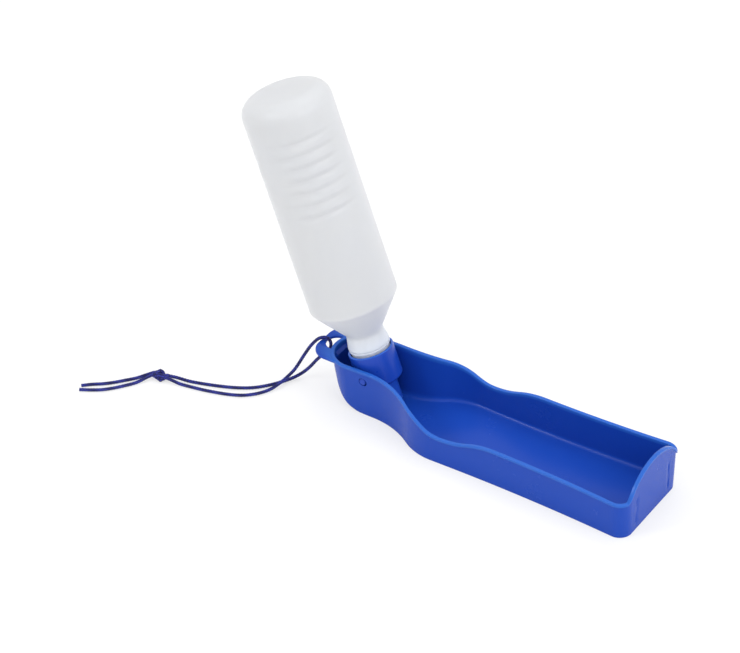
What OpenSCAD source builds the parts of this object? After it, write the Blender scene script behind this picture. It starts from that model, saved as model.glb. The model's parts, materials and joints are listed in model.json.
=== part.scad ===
// Dog travel water bottle: a squeeze bottle that folds into its own drinking tray.
// The origin is at the middle of the tray's flat base. +X points to the arched end wall,
// the bottle is hinged near the other end, and +Z is up. All sizes are in millimetres.

/* [Bottle] */
// Outside diameter of the bottle body
bottle_d = 62; // [54:1:70]
// Distance from the pivot to the base of the bottle
bottle_reach = 212; // [190:1:235]
// Wall thickness of the bottle
bottle_wall = 1.2; // [0.8:0.1:1.6]
// Radius of the rounded edge at the base of the bottle
base_round = 11; // [6:0.5:14]
// Distance from the pivot to the edge of the shoulder
shoulder_reach = 55; // [50:1:66]
// Distance from the pivot to the narrow end of the shoulder
neck_reach = 29; // [27:0.5:32]
// Diameter of the narrow part of the neck
neck_d = 25.6; // [22:0.2:27]
// Number of grip grooves on each side
grip_count = 7; // [3:1:9]
// Distance from the base of the bottle to the nearest grip groove
grip_from_base = 26; // [20:1:40]
// Spacing of the grip grooves
grip_pitch = 9; // [7:0.5:11]
// Depth of the grip grooves
grip_depth = 0.6; // [0.3:0.1:0.7]
// Angle from the middle of a grip groove to where it fades out
grip_span = 50; // [30:1:70]
// Turn of the grip grooves about the bottle's axis
grip_turn = -43; // [-180:1:180]

/* [Screw cap] */
// Outside diameter of the collar
collar_d = 32; // [31:0.5:34]
// Distance from the pivot up to the rim of the collar
collar_top = 16.2; // [15:0.2:18]
// Distance from the pivot down to the lower edge of the collar
collar_drop = 8; // [6:0.5:10]
// Wall thickness of the collar
collar_wall = 1.6; // [1.2:0.1:1.8]
// Outside diameter of the spout
spout_d = 20.8; // [17:0.2:21]
// Distance from the pivot to the tip of the spout
spout_reach = 27.5; // [26:0.1:32]
// Diameter of the water channel through the spout
channel_d = 9; // [6:0.5:10]
// Diameter of the trunnion pins
pin_d = 6.3; // [5:0.1:7]
// How far the pins' ends lie below the outside of the tray's side walls
pin_inset = 0.2; // [0.1:0.1:0.8]
// Pitch of the neck thread
thread_pitch = 3.2; // [3:0.1:3.6]
// Turns of the neck thread
thread_turns = 1.5; // [1:0.25:1.75]
// Thickness of the neck washer
washer_t = 1.6; // [1:0.1:2]

/* [Tray] */
// Wall thickness of the tray
wall = 1.8; // [1.4:0.1:2.2]
// Floor thickness of the tray
floor_t = 2; // [1.5:0.1:2.5]
// Height of the rim along the trough
rim_z = 29.5; // [26:0.2:34]
// Height of the rim at the bottom of the finger dip
dip_z = 22.1; // [18:0.2:24]
// Height of the rim at the crest beside the pivot
crest_z = 39.8; // [37:0.2:44]
// Height of the rim and of the cord tab at the head's end
head_rim_z = 38.2; // [36:0.2:39.4]
// Height of the arched end wall
arch_z = 47.4; // [42:0.2:52]
// Radius of the arch of the end wall
arch_r = 37.2; // [36:0.2:42]
// Radius of the tray's upright corners
corner_r = 9.5; // [8:0.5:14]
// How much each side wall leans in from the rim to the base
side_lean = 0.5; // [0:0.1:2]
// Lean of the head's walls, in millimetres for each millimetre of height
head_lean = 0.08; // [0.04:0.01:0.1]
// Radius of the inward bow of the side walls
bow_r = 1300; // [900:50:2500]
// Length from the pivot to where the side walls are closest together
waist_from_pivot = 112; // [100:1:124]
// Distance that the rim's lip stands out of the wall
lip_w = 1; // [0.8:0.1:1.8]
// Height of the rim's lip
lip_h = 1.8; // [1.2:0.1:2.6]
// Length from the pivot to the bottom of the finger dip
dip_from_pivot = 72; // [66:1:80]
// Length from the pivot to the crest of the rim
crest_from_pivot = 6; // [2:1:12]
// Length from the finger dip to the level rim
dip_run = 42; // [34:1:50]
// Length from the pivot to where the tray starts to narrow
narrow_from_pivot = 63; // [60:1:68]
// Length over which the tray narrows to the head
narrow_run = 56; // [50:1:58]

/* [Cord tab] */
// How far the tab stands out of the head's rim
tab_reach = 10.8; // [9:0.2:14]
// Half width of the tab
tab_half = 18.4; // [16:0.2:19.4]
// Width of the bar that the cord goes round
tab_bar = 3.4; // [3.2:0.1:4.4]
// Thickness of the tab
tab_t = 2; // [1.6:0.1:3]
// Radius of the round opening behind the bar
tab_slot_r = 7.6; // [7.2:0.1:9]
// Radius of the tab's corners
tab_round = 12; // [6:0.5:13]

/* [Cord] */
// Diameter of the cord
cord_d = 2.6; // [2:0.1:3]
// Length of the knot
knot_len = 10; // [8:0.5:12]
// Diameter of the knot
knot_d = 7.6; // [7:0.1:9]

/* [Fits] */
// Gap between the folded bottle's base and the end wall
fold_gap = 2.2; // [2:0.1:4]
// Gap between the bottle and the tray's side walls
side_gap = 0.7; // [0.4:0.1:1.5]
// Gap between the collar and the head's side walls at the pivot
head_gap = 1.2; // [1:0.1:2]
// Gap between the spout's tip and the curved wall that closes it
seat_gap = 0.5; // [0.4:0.05:0.8]
// Running clearance of a pin in its hole
pin_fit = 0.08; // [0.04:0.01:0.1]
// Gap between the bottle's neck and the collar
neck_gap = 0.5; // [0.4:0.05:0.7]

/* [Pose] */
// Angle of the bottle's axis above the +X direction
bottle_tilt = 110; // [95:1:125]

/* [Hidden] */
$fn = 96;

// Places along the tray
base_len = bottle_reach + fold_gap + wall;
pivot_x = -base_len / 2;
end_x = base_len / 2;
seat_r = spout_reach + seat_gap;
head_r = seat_r + floor_t;
pivot_z = head_r;
dip_x = pivot_x + dip_from_pivot;
crest_x = pivot_x + crest_from_pivot;
level_x = dip_x + dip_run;
narrow_x = pivot_x + narrow_from_pivot;
head_x = narrow_x - narrow_run;
waist_x = pivot_x + waist_from_pivot;

// Half widths of the tray's outside at the base
bottle_r = bottle_d / 2;
collar_r = collar_d / 2;
waist_half_base = bottle_r + side_gap + wall - side_lean;
head_half_pivot = collar_r + head_gap + wall;
head_half_base = head_half_pivot - head_lean * pivot_z;
bow_spread = 0.15;

// Share of each slope's length that its first arc takes: neck, finger dip and rise to the crest
neck_share = 0.41;
dip_share = 0.52;
crest_share = 0.2;

// The head's end leans out more than its sides, up to its flared rim
end_lean = 0.155;
end_foot_in = 2.6;
head_end_base = head_r - pivot_x - end_foot_in;
head_end_rim = head_end_base + end_lean * head_rim_z;
flare_z = pivot_z + 3;
flare = 1.5;

// Points round half of the outline: end wall, corner, side and neck, head
end_steps = 7;
corner_steps = 6;
trough_steps = 7;
slope_steps = 10;
neck_steps = 13;
head_steps = 16;
keel_steps = 8;
corner_x = end_x - corner_r;
side_places = concat(
    [for (i = [0 : trough_steps - 1]) mix(corner_x, level_x, i / trough_steps)],
    [for (i = [0 : slope_steps - 1]) mix(level_x, narrow_x, i / slope_steps)],
    [for (i = [0 : neck_steps - 1]) mix(narrow_x, head_x, i / neck_steps)]);
head_start = end_steps + corner_steps + len(side_places);
half_count = head_start + head_steps;
rims = [for (i = [0 : half_count]) rim_at(place(i, rim_z, 0))];
edge_round = 0.6;
floor_round = 8;
tab_drop = 0.1;

// Cap and neck
cut_past = 2;
cap_chamfer = 1.6;
spout_ease = 0.6;
pin_r = pin_d / 2;
pin_end = head_half_pivot - pin_inset;
spout_r = spout_d / 2;
bore_r = collar_r - collar_wall;
washer_seat = 1;
washer_fit = 0.1;
washer_land = 2;
neck_foot = washer_seat + washer_t;
thread_h = 1;
thread_root = 0.64;
thread_crest = 0.36;
thread_sink = 0.3;
thread_start = neck_foot + 2.6;
neck_core_r = bore_r - neck_gap - thread_h;
bead_gap = 0.6;
bead_r = bore_r + 0.2;
bead_lower_h = 1.9;
bead_upper_h = 2.1;
bead_groove_h = 0.6;
bead_groove = 0.5;
bead_h = bead_lower_h + bead_groove_h + bead_upper_h;
neck_blend = 2.4;
seal_land = 2.6;
seal_r = channel_d / 2 + seal_land;
seal_t = 1.6;
seal_proud = 0.1;
seal_fit = 0.05;

// Tab
tab_end = -(head_end_rim + tab_reach);
knot_pos = [-250, -60, knot_d / 2];
knot_turn = 14;

// Cord routes, from the knot over the bar and back to the knot, and the two tails
loop_route = [
    [-245.1, -60.4, 3.8], [-240, -59.6, 3], [-234, -58.4, 1.5], [-226, -57, 1.4], [-216, -55, 1.4],
    [-206, -52.2, 1.4], [-197, -49, 1.4], [-189, -44.6, 1.4], [-182.4, -38, 1.4],
    [-177.8, -30.4, 1.6], [-174.8, -22.6, 3.2], [-172.6, -16, 5.6], [-170, -11, 9.6],
    [-167.6, -8.2, 15], [-164.4, -6.4, 22], [-160.8, -5.4, 29], [-157, -5, 35],
    [-153.6, -3.8, 39], [-150.6, -1.8, 40], [-148, -0.8, 39.6], [-146.2, -0.8, 38],
    [-145.2, -1.4, 35.8], [-145.2, -2.4, 33],
    [-146.6, -3.8, 30.4], [-150, -5.4, 27], [-154.2, -6, 21.8], [-158.4, -6, 15.6], [-162.4, -6, 10.2],
    [-167, -6.8, 5], [-171.8, -10.8, 1.6], [-176.2, -18.8, 1.4], [-181.8, -27, 1.4],
    [-188.8, -34.4, 1.4], [-198, -40.4, 1.4], [-208, -45, 1.4], [-219, -49, 1.4],
    [-230, -52.4, 1.5], [-238, -55.2, 3], [-244.4, -57.6, 3.8]];
tail_near_route = [
    [-254.2, -62.5, 3.8], [-257.2, -67, 2.6], [-260.6, -73.6, 1.4], [-265.4, -80.8, 1.4],
    [-270, -86.8, 1.4], [-275.6, -92.6, 1.4], [-281.6, -96.8, 1.4], [-289, -101, 1.4]];
tail_far_route = [
    [-255, -59.9, 3.8], [-258.6, -63.4, 2.6], [-263.4, -69.2, 1.4], [-268.6, -75.6, 1.4],
    [-273.6, -81.6, 1.4], [-279.4, -87.2, 1.4], [-285.4, -91.8, 1.4], [-290.6, -96.6, 1.4]];

function reversed(list) = [for (i = [len(list) - 1 : -1 : 0]) list[i]];

function mix(a, b, k) = a + (b - a) * k;

// Height at x of two arcs that join p and q and are level there; share is the arc at p's part
function s_height(x, p, q, share) =
    let (dx = abs(q.x - p.x), turn = 2 * atan(abs(q.y - p.y) / dx), r = dx * share / sin(turn),
         s = dx * (1 - share) / sin(turn), up = sign(q.y - p.y), along = abs(x - p.x))
    along < dx * share ? p.y + up * (r - sqrt(r * r - along * along))
                       : q.y - up * (s - sqrt(s * s - pow(dx - along, 2)));

// Height of the rim at a place along the tray
function rim_height(x) =
    x > level_x ? rim_z :
    x > dip_x ? s_height(x, [level_x, rim_z], [dip_x, dip_z], dip_share) :
    x > crest_x ? s_height(x, [dip_x, dip_z], [crest_x, crest_z], crest_share) :
    mix(crest_z, head_rim_z, (crest_x - x) / (crest_x + head_end_rim));

// Height of the rim at a point of the outline, where the end wall rises in an arch
function rim_at(p) =
    p.x > corner_x ? max(rim_z, arch_z - arch_r + sqrt(max(0, arch_r * arch_r - p.y * p.y)))
                   : rim_height(p.x);

// Half width of the tray's outside along the trough and the neck
function side_half(x, z) =
    waist_half_base + side_lean * z / rim_z
    + pow(x - waist_x, 2) / (2 * bow_r) * mix(1 - bow_spread, 1 + bow_spread, z / rim_z);

function head_half(z) = head_half_base + head_lean * z;

function half_width(x, z) =
    x >= narrow_x ? side_half(x, z)
                  : s_height(x, [narrow_x, side_half(narrow_x, z)], [head_x, head_half(z)], neck_share);

// How far the head reaches back from the pivot, where it is rounded about the pivot's axis
function keel_reach(z, r) =
    z < pivot_z ? sqrt(max(0, r * r - pow(pivot_z - z, 2))) : r + flare * max(0, z - flare_z);

// Distance from the middle of the head's front to its wall, a degrees round from the side
function head_ray(a, z, t) =
    let (r = head_half(z) - t, c = head_x + head_end_base + end_lean * z - head_half(z),
         round_end = r * sin(a) < c * cos(a) ? r / cos(a) : c * sin(a) + sqrt(r * r - pow(c * cos(a), 2)))
    min(r * sin(a) < c * cos(a) ? r / cos(a) : round_end,
        (head_x - pivot_x + keel_reach(z, t > 0 ? head_r - floor_t : head_r)) / sin(a));

// Point of the near half of the outline at level z, moved inwards by t
function place(i, z, t) =
    i < end_steps ? [end_x - t, (corner_r - half_width(corner_x, z)) * i / end_steps] :
    i < end_steps + corner_steps ?
        let (a = 90 * (i - end_steps) / corner_steps)
        [corner_x + (corner_r - t) * cos(a), corner_r - half_width(corner_x, z) - (corner_r - t) * sin(a)] :
    i < head_start ? let (x = side_places[i - end_steps - corner_steps]) [x, t - half_width(x, z)] :
        let (a = 90 * (i - head_start) / head_steps, r = head_ray(a, z, t))
        [head_x - r * sin(a), -r * cos(a)];

// Closed ring of points; level is a share of the wall's height between z0 and the rim less drop
function ring(level, z0, drop, t) =
    let (half = [for (i = [0 : half_count])
        let (z = mix(z0, rims[i] - drop, level), p = place(i, z, t)) [p.x, p.y, z]])
    concat(half, [for (i = [half_count - 1 : -1 : 1]) [half[i].x, -half[i].y, half[i].z]]);

// How far a rounded inside corner of radius r stands in at height h
function fillet(h, r) = h < r ? r - sqrt(r * r - pow(r - h, 2)) : 0;

function middle(ring) = [for (p = ring) 1] * ring / len(ring);

// Joins rings of n points and closes each end with a fan about its middle
module skin(rings) {
    n = len(rings[0]);
    m = len(rings);
    last = (m - 1) * n;
    polyhedron(
        points = concat([for (r = rings) each r], [middle(rings[0]), middle(rings[m - 1])]),
        faces = concat(
            [for (i = [0 : n - 1]) [(i + 1) % n, i, m * n]],
            [for (i = [0 : n - 1]) [last + i, last + (i + 1) % n, m * n + 1]],
            [for (j = [0 : m - 2], i = [0 : n - 1])
                let (a = j * n + i, b = j * n + (i + 1) % n)
                each [[a, b, a + n], [b, b + n, a + n]]]));
}

// Walls, floor and rolled rim as one skin, from the underside up over the rim and down inside
module tray_shell() {
    outer_top = head_rim_z - lip_h;
    inner_top = head_rim_z - floor_t;
    steps = [for (j = [0 : keel_steps]) 1 - cos(90 * j / keel_steps)];
    outer = concat(head_r * steps, [flare_z, outer_top]) / outer_top;
    inner = concat((head_r - floor_t) * steps, [flare_z - floor_t, inner_top]) / inner_top;
    trough_h = rim_z - floor_t;
    skin(concat(
        [for (k = outer) ring(k, 0, lip_h, fillet(k * (rim_z - lip_h), edge_round))],
        [ring(1, 0, lip_h, -lip_w), ring(1, 0, 0, -lip_w)],
        [for (j = [len(inner) - 1 : -1 : 0])
            ring(inner[j], floor_t, 0, wall + fillet(inner[j] * trough_h, floor_round))]));
}

module cord_tab() {
    back = -head_end_rim + head_half(head_rim_z);
    translate([0, 0, head_rim_z - tab_t - tab_drop])
        linear_extrude(height = tab_t)
            difference() {
                union() {
                    translate([tab_end, tab_round - tab_half])
                        square([back - tab_end, 2 * (tab_half - tab_round)]);
                    translate([tab_end + tab_round, -tab_half])
                        square([back - tab_end - tab_round, 2 * tab_half]);
                    for (side = [-1, 1])
                        translate([tab_end + tab_round, side * (tab_half - tab_round)])
                            circle(r = tab_round);
                }
                translate([tab_end + tab_bar + tab_slot_r, 0])
                    circle(r = tab_slot_r);
                translate([back, 0])
                    circle(r = head_half(head_rim_z) + lip_w / 2 - wall);
            }
}

module tray() {
    color("royalblue")
        difference() {
            union() {
                tray_shell();
                cord_tab();
            }
            translate([pivot_x, 0, pivot_z])
                rotate([90, 0, 0])
                    cylinder(r = pin_r + pin_fit, h = 4 * head_half_pivot, center = true);
        }
}

// Moves a piece drawn along +Z from the pivot onto the bottle's axis
module on_bottle_axis() {
    translate([pivot_x, 0, pivot_z])
        rotate([0, 90 - bottle_tilt, 0])
            children();
}

// Helical ridge with its root at radius r0 and its crest at radius r1
module thread_ridge(r0, r1, z0) {
    steps = ceil(thread_turns * 24);
    section = [[r0, -thread_root], [r1, -thread_crest], [r1, thread_crest], [r0, thread_root]];
    skin([for (i = [0 : steps])
        let (a = 360 * thread_turns * i / steps, z = z0 + thread_pitch * thread_turns * i / steps)
        [for (p = r1 > r0 ? section : reversed(section)) [p.x * cos(a), p.x * sin(a), z + p.y]]]);
}

module pivot_cap() {
    color("mediumblue")
        on_bottle_axis()
            difference() {
                union() {
                    cylinder(r = collar_r, h = collar_top);
                    translate([0, 0, cap_chamfer - collar_drop])
                        cylinder(r = collar_r, h = collar_drop);
                    translate([0, 0, -collar_drop])
                        cylinder(r1 = collar_r - cap_chamfer, r2 = collar_r, h = cap_chamfer);
                    intersection() {
                        translate([0, 0, -spout_reach - cut_past])
                            cylinder(r = spout_r, h = spout_reach);
                        rotate([90, 0, 0])
                            cylinder(r = spout_reach, h = collar_d, center = true);
                        sphere(r = spout_reach + spout_ease);
                    }
                    rotate([90, 0, 0])
                        cylinder(r = pin_r, h = 2 * pin_end, center = true);
                }
                translate([0, 0, washer_seat])
                    cylinder(r = bore_r, h = collar_top);
                translate([0, 0, -spout_reach - cut_past])
                    cylinder(r = channel_d / 2, h = spout_reach + collar_top);
                translate([0, 0, -spout_reach - cut_past])
                    cylinder(r = seal_r + seal_fit, h = seal_t + cut_past);
            }
    color("mediumblue")
        on_bottle_axis()
            thread_ridge(bore_r + thread_sink, bore_r - thread_h, thread_start + thread_pitch / 2);
}

module spout_seal() {
    color("dimgray")
        on_bottle_axis()
            intersection() {
                translate([0, 0, -spout_reach - cut_past])
                    difference() {
                        cylinder(r = seal_r, h = seal_t + cut_past);
                        translate([0, 0, -cut_past])
                            cylinder(r = channel_d / 2, h = seal_t + 3 * cut_past);
                    }
                rotate([90, 0, 0])
                    cylinder(r = spout_reach + seal_proud, h = collar_d, center = true);
            }
}

module neck_washer() {
    color("gainsboro")
        on_bottle_axis()
            translate([0, 0, washer_seat])
                difference() {
                    cylinder(r = bore_r - washer_fit, h = washer_t);
                    translate([0, 0, -cut_past])
                        cylinder(r = channel_d / 2 + washer_land, h = washer_t + 2 * cut_past);
                }
}

// Threaded end of the bottle up to the shoulder, with the two beads above the collar
module bottle_neck() {
    neck_r = neck_d / 2;
    bore = neck_core_r - bottle_wall;
    bead_z = collar_top + bead_gap;
    bead_end = bead_z + bead_h;
    color("whitesmoke")
        on_bottle_axis() {
            rotate_extrude() {
                polygon([
                    [bore, neck_foot], [neck_core_r, neck_foot], [neck_core_r, bead_end],
                    [neck_r, bead_end + neck_blend], [neck_r, neck_reach], [neck_r - bottle_wall, neck_reach]]);
                translate([bore, bead_z])
                    square([bead_r - bead_groove - bore, bead_h]);
                translate([bore, bead_z])
                    square([bead_r - bore, bead_lower_h]);
                translate([bore, bead_end - bead_upper_h])
                    square([bead_r - bore, bead_upper_h]);
            }
            thread_ridge(neck_core_r - thread_sink, neck_core_r + thread_h, thread_start);
        }
}

// Half section of the shoulder and body, moved inwards by t
module body_section(t) {
    top = bottle_reach - t;
    corner = base_round - t;
    polygon([
        [0, neck_reach - t], [neck_d / 2 - t, neck_reach - t], [neck_d / 2 - t, neck_reach],
        [bottle_r - t, shoulder_reach + t / 2], [bottle_r - t, top - corner],
        [bottle_r - t - corner, top], [0, top]]);
    translate([bottle_r - base_round, bottle_reach - base_round])
        intersection() {
            circle(r = corner);
            square(corner + 1);
        }
}

module bottle_body() {
    groove_r = 1.2;
    groove_shift = grip_depth / (1 - cos(grip_span));
    groove_ring = bottle_r - grip_depth + groove_r + groove_shift;
    grip_top = bottle_reach - grip_from_base;
    color("whitesmoke")
        on_bottle_axis()
            difference() {
                rotate_extrude()
                    body_section(0);
                rotate_extrude()
                    body_section(bottle_wall);
                for (i = [0 : grip_count - 1], side = [0, 180])
                    rotate([0, 0, grip_turn + side])
                        translate([-groove_shift, 0, grip_top - i * grip_pitch])
                            rotate_extrude()
                                translate([groove_ring, 0])
                                    circle(r = groove_r, $fn = 48);
            }
}

// Unit vectors for sweeping a round section along a route
function direction(route, i) =
    let (n = len(route) - 1, v = route[min(i + 1, n)] - route[max(i - 1, 0)])
    v / norm(v);

function side_axis(u) =
    let (v = cross([0, 0, 1], u), w = norm(v) < 0.2 ? cross([0, 1, 0], u) : v)
    w / norm(w);

// Tube of eight sides along a route
module cord_tube(route) {
    skin([for (i = [0 : len(route) - 1])
        let (u = direction(route, i), v = side_axis(u), w = cross(u, v))
        [for (j = [0 : -1 : -7]) route[i] + cord_d / 2 * (cos(45 * j) * v + sin(45 * j) * w)]]);
}

module cord_loop() {
    color("midnightblue") cord_tube(loop_route);
}

module cord_tail_near() {
    color("midnightblue") cord_tube(tail_near_route);
}

module cord_tail_far() {
    color("midnightblue") cord_tube(tail_far_route);
}

module cord_knot() {
    end_r = 3;
    bulge = knot_d / 2 - end_r;
    color("midnightblue")
        translate(knot_pos)
            rotate([0, 0, knot_turn])
                rotate([0, 90, 0])
                    rotate_extrude()
                        polygon(concat(
                            [[0, -knot_len / 2], [end_r, -knot_len / 2]],
                            [for (a = [-75 : 15 : 75]) [end_r + bulge * cos(a), knot_len / 2 * sin(a)]],
                            [[end_r, knot_len / 2], [0, knot_len / 2]]));
}

tray();
pivot_cap();
spout_seal();
neck_washer();
bottle_neck();
bottle_body();
cord_loop();
cord_knot();
cord_tail_near();
cord_tail_far();
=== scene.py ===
import json
from math import acos, atan2, ceil, copysign, cos, degrees, hypot, pi, radians, sin, sqrt, tan

import bmesh
import bpy
from mathutils import Matrix, Vector
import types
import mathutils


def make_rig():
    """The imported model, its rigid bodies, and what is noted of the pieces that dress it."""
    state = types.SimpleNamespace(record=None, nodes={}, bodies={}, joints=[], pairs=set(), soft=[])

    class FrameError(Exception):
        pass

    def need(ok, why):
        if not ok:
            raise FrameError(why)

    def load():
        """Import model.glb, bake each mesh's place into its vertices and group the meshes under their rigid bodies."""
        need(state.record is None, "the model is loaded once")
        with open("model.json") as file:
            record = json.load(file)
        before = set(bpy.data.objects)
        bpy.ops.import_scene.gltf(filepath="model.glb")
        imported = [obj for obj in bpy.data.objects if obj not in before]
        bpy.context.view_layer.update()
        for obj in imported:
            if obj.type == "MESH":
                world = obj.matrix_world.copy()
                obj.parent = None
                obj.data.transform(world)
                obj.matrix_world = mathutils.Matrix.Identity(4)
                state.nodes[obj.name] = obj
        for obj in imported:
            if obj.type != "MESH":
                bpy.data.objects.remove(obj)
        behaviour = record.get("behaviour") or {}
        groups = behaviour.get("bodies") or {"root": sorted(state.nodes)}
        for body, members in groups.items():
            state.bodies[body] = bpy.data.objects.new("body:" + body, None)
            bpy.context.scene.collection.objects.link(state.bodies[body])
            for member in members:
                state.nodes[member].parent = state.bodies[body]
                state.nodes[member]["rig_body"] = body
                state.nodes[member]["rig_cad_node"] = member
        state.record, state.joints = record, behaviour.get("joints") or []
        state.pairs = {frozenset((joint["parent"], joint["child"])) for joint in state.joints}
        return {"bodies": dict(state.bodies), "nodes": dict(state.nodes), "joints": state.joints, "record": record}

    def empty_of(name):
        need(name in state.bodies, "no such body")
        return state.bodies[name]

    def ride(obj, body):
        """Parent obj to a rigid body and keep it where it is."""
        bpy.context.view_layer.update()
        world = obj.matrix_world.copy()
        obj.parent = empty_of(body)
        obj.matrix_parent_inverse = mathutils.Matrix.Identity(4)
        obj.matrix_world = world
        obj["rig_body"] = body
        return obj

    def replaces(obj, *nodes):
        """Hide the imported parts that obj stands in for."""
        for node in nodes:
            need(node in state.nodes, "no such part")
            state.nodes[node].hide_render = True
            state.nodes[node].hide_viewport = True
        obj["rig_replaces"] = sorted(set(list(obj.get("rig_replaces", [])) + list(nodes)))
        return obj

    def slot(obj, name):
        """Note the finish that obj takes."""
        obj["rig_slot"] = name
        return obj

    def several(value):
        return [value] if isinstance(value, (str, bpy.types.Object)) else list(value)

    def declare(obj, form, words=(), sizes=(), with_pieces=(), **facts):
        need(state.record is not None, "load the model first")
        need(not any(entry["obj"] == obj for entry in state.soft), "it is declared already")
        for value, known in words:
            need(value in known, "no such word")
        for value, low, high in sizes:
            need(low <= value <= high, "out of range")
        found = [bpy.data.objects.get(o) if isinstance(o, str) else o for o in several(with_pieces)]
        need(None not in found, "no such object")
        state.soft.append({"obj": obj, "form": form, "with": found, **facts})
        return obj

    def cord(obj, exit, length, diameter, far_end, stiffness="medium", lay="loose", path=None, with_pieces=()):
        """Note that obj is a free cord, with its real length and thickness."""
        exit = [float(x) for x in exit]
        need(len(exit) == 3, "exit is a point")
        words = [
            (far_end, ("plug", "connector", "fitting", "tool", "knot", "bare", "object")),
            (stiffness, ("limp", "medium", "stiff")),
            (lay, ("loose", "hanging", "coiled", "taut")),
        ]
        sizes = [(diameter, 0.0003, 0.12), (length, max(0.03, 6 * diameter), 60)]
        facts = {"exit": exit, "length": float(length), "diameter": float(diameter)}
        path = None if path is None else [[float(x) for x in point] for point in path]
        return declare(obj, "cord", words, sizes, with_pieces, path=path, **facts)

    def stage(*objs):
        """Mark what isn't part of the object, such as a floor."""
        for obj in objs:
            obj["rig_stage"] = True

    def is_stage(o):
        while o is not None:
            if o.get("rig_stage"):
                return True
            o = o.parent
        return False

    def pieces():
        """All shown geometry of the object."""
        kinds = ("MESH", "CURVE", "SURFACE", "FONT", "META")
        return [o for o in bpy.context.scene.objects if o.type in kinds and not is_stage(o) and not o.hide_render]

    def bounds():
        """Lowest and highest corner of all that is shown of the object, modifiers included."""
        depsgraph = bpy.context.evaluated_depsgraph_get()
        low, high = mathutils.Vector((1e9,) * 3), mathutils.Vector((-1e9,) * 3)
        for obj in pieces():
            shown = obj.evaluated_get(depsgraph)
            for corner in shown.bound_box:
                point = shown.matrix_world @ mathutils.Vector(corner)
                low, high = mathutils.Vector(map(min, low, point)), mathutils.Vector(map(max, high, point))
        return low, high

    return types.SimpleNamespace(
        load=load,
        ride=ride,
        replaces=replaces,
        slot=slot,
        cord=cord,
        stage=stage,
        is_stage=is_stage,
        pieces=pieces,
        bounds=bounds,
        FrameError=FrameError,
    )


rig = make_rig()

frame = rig.load()
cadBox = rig.bounds()
mm = 0.001
print("frame loaded")

# Where the bottle stands: the pivot, and the bottle's own axis leaned back from upright
stance = {"pivot": (-0.108, 0, 0.03), "lean": -20}
onBottleAxis = Matrix.Translation(stance["pivot"]) @ Matrix.Rotation(radians(stance["lean"]), 4, "Y")

camera = {
    "place": (0.85292, -1.43691, 1.37008),
    "azimuth": 33.83,
    "elevation": 37.04,
    "roll": -0.76,
    "focalPixels": 3200,
    "imageSize": (740, 653),
    "principalPoint": (374.28, 326.32),
    "sensorWidth": 36,
}


def addObject(name, data):
    piece = bpy.data.objects.new(name, data)
    bpy.context.scene.collection.objects.link(piece)
    return piece


def addCamera():
    azimuth, elevation, roll = (radians(camera[key]) for key in ("azimuth", "elevation", "roll"))
    width, height = camera["imageSize"]
    back = Vector((sin(azimuth) * cos(elevation), -cos(azimuth) * cos(elevation), sin(elevation)))
    right = Vector((cos(azimuth), sin(azimuth), 0))
    up = back.cross(right)
    turnedRight = right * cos(roll) + up * sin(roll)
    turnedUp = up * cos(roll) - right * sin(roll)
    lens = bpy.data.cameras.new("photoCamera")
    lens.sensor_fit = "HORIZONTAL"
    lens.sensor_width = camera["sensorWidth"]
    lens.lens = camera["focalPixels"] * camera["sensorWidth"] / width
    lens.shift_x = (width / 2 - camera["principalPoint"][0]) / width
    lens.shift_y = (camera["principalPoint"][1] - height / 2) / width
    lens.clip_end = 50
    eye = addObject("photoCamera", lens)
    turn = Matrix((turnedRight, turnedUp, back)).transposed().to_4x4()
    eye.matrix_world = Matrix.Translation(camera["place"]) @ turn
    bpy.context.scene.camera = eye


addCamera()
print("camera set")


# Node helpers, for shader and geometry trees alike

def feed(socket, value):
    if isinstance(value, list):
        for part in value:
            feed(socket, part)
    elif isinstance(value, bpy.types.NodeSocket):
        socket.id_data.links.new(value, socket)
    else:
        socket.default_value = value


def addNode(tree, kind, inputs=None, **settings):
    node = tree.nodes.new(kind)
    for name, value in settings.items():
        setattr(node, name, value)
    for key, value in (inputs or {}).items():
        feed(node.inputs[key], value)
    return node


def output(tree, kind, inputs=None, **settings):
    return addNode(tree, kind, inputs, **settings).outputs[0]


def calc(operation, *values):
    # In the tree of the values' own sockets; values beyond the second are taken in one by one
    tree = next(value.id_data for value in values if isinstance(value, bpy.types.NodeSocket))
    whole = output(tree, "ShaderNodeMath", dict(enumerate(values[:2])), operation=operation)
    return calc(operation, whole, *values[2:]) if values[2:] else whole


def plus(*values):
    return calc("ADD", *values)


def minus(*values):
    return calc("SUBTRACT", *values)


def times(*values):
    return calc("MULTIPLY", *values)


def over(*values):
    return calc("DIVIDE", *values)


def vectorCalc(operation, first, second=None):
    inputs = {0: first}
    if second is not None:
        inputs["Scale" if operation == "SCALE" else 1] = second
    return output(first.id_data, "ShaderNodeVectorMath", inputs, operation=operation)


def mapRange(value, fromRange, toRange=(0.0, 1.0)):
    (fromLow, fromHigh), (toLow, toHigh) = fromRange, toRange
    return output(value.id_data, "ShaderNodeMapRange", {
        "Value": value, "From Min": fromLow, "From Max": fromHigh, "To Min": toLow, "To Max": toHigh},
        interpolation_type="SMOOTHSTEP")


def partsOf(vector):
    return addNode(vector.id_data, "ShaderNodeSeparateXYZ", {0: vector}).outputs


def newGroup(name, kind, inputs, outputs):
    # The labels of the sockets by their kind; every value comes from the group's user
    tree = bpy.data.node_groups.new(name, kind)
    for side, sockets in (("INPUT", inputs), ("OUTPUT", outputs)):
        for socketKind, labels in sockets.items():
            for label in labels:
                tree.interface.new_socket(label, in_out=side, socket_type="NodeSocket" + socketKind)
    return tree, addNode(tree, "NodeGroupInput").outputs, addNode(tree, "NodeGroupOutput").inputs


def noiseOn(place, size, detail, roughness=0.5, share=1.0):
    return output(place.id_data, "ShaderNodeTexNoise", {
        "Vector": place, "Scale": over(share, size), "Detail": detail, "Roughness": roughness})


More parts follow.
